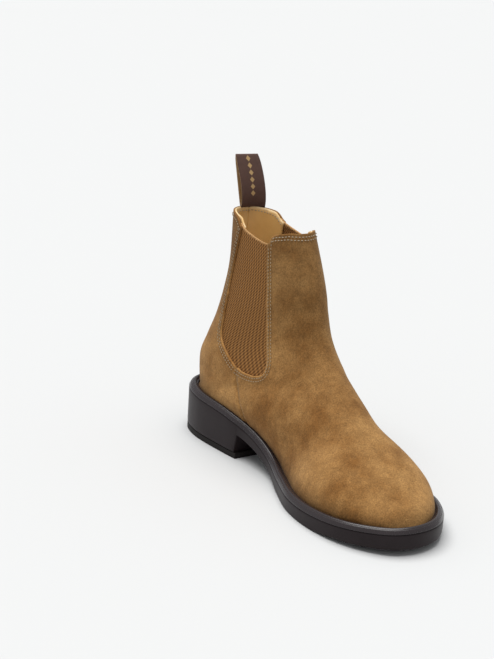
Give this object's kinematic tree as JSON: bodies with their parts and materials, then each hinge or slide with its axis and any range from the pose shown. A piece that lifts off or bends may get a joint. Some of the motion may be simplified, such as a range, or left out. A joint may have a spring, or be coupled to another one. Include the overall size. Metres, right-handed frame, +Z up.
{
  "type": "chelsea boot",
  "caption": "Suede chelsea boot for the left foot: two elastic side gores, leather lining, woven heel pull loop, welted rubber sole with a block heel.",
  "frame": {"origin": "on the ground under the middle of the sole: centre of the bounding box in X and Y, lowest point in Z", "axes": "+Z up; +Y towards the heel, toe towards -Y; +X towards the outer (lateral) side of the left foot"},
  "size_m": [0.1074, 0.302, 0.2265],
  "materials": {
    "suede": "napped suede, tan brown, matt",
    "elastic": "ribbed elastic webbing with a fine diagonal weave, matt",
    "lining_leather": "smooth unlacquered calf, satin",
    "stiffener_board": "leatherboard, matt",
    "woven_tape": "twill tape with a small woven gold motif, matt",
    "nail_steel": "plain drawn steel",
    "rivet_brass": "plain brass",
    "cork": "ground cork in binder, matt",
    "insole_board": "leatherboard, matt",
    "foam": "latex foam, matt",
    "sole_rubber": "moulded rubber, satin sides",
    "welt_rubber": "moulded rubber, polished edge",
    "top_piece_rubber": "hard rubber, satin"
  },
  "bodies": {
    "boot": {"vamp": "suede", "quarter_medial": "suede", "quarter_lateral": "suede", "gore_medial": "elastic", "gore_lateral": "elastic", "vamp_lining": "lining_leather", "quarter_lining_medial": "lining_leather", "quarter_lining_lateral": "lining_leather", "toe_puff": "stiffener_board", "heel_counter": "stiffener_board", "pull_loop_ends": "woven_tape", "shank_rivet_1": "rivet_brass", "shank_rivet_2": "rivet_brass", "heel_nail_1": "nail_steel", "heel_nail_2": "nail_steel", "heel_nail_3": "nail_steel", "heel_nail_4": "nail_steel", "heel_nail_5": "nail_steel", "bottom_filler": "cork", "insole_board": "insole_board", "shank": "nail_steel", "heel_pad": "foam", "sock_liner": "lining_leather", "sole_unit": "sole_rubber", "welt": "welt_rubber", "heel_top_piece": "top_piece_rubber"},
    "loop": {"pull_loop": "woven_tape"}
  },
  "joints": [
    {"name": "pull_loop_fold", "type": "hinge", "parent": "boot", "child": "loop", "pos_m": [0.0205, 0.13257, 0.1866], "axis": [0.9511, -0.309, 0], "range_deg": [-50, 50], "stiffness_Nm_per_rad": 0.004}
  ]
}
